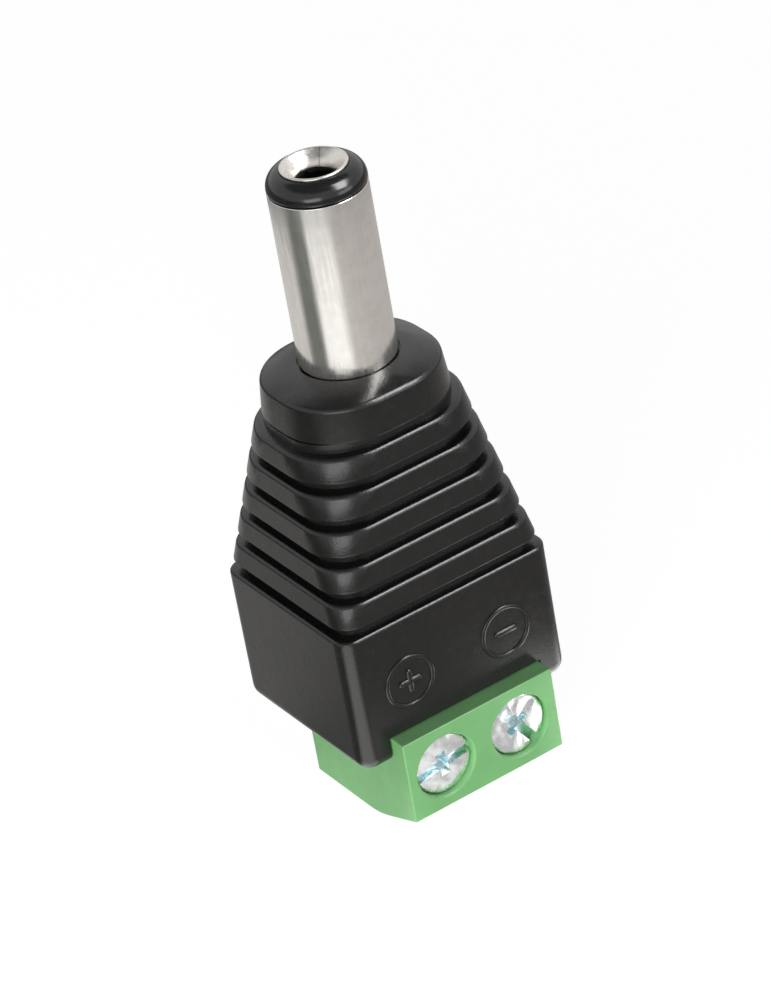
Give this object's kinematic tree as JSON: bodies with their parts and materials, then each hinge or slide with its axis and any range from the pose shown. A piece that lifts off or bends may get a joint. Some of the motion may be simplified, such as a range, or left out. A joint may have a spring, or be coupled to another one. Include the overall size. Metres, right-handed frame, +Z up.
{
  "type": "dc barrel plug",
  "caption": "Straight male barrel power plug with a ribbed black housing and a green screw terminal block with rising-cage clamps.",
  "frame": {"origin": "where the barrel's axis meets the block's flat wire-entry face, on the web between the two wire entries", "axes": "+Z up the barrel towards its tip, +X towards the negative terminal, -Y towards the screw heads"},
  "size_m": [0.014, 0.0131, 0.0383],
  "materials": {
    "black_plastic": "satin black moulding",
    "nickel": "bright nickel plate",
    "tip_plastic": "glossy black",
    "contact_metal": "nickel plate, satin",
    "insulator_plastic": "natural nylon",
    "tab_brass": "tin-washed brass",
    "green_plastic": "satin green moulding",
    "tinned_brass": "tinned",
    "zinc_steel": "zinc plate",
    "cage_steel": "nickel-plated steel"
  },
  "bodies": {
    "adapter": {"housing": "black_plastic", "barrel_sleeve": "nickel", "tip_insulator": "tip_plastic", "centre_contact": "contact_metal", "rear_insulator": "insulator_plastic", "centre_tab": "tab_brass", "sleeve_tab": "tab_brass", "terminal_block": "green_plastic", "contact_positive": "tinned_brass", "contact_negative": "tinned_brass"},
    "screw_positive": {"clamp_screw_positive": "zinc_steel"},
    "screw_negative": {"clamp_screw_negative": "zinc_steel"},
    "cage_positive": {"clamp_cage_positive": "cage_steel"},
    "cage_negative": {"clamp_cage_negative": "cage_steel"}
  },
  "joints": [
    {"name": "screw_positive_turn", "type": "hinge", "parent": "adapter", "child": "screw_positive", "pos_m": [-0.00254, -0.005, 0.00395], "axis": [0, 1, 0], "range_deg": [0, 1600.1]},
    {"name": "cage_positive_slide", "type": "slide", "parent": "adapter", "child": "cage_positive", "axis": [0, -1, 0], "range_m": [0, 0.002]},
    {"name": "screw_negative_turn", "type": "hinge", "parent": "adapter", "child": "screw_negative", "pos_m": [0.00254, -0.005, 0.00395], "axis": [0, 1, 0], "range_deg": [0, 1600.1]},
    {"name": "cage_negative_slide", "type": "slide", "parent": "adapter", "child": "cage_negative", "axis": [0, -1, 0], "range_m": [0, 0.002]}
  ],
  "couplings": [
    {"joint": "screw_positive_turn", "follows": "cage_positive_slide", "rad_per_m": 13963},
    {"joint": "screw_negative_turn", "follows": "cage_negative_slide", "rad_per_m": 13963}
  ]
}
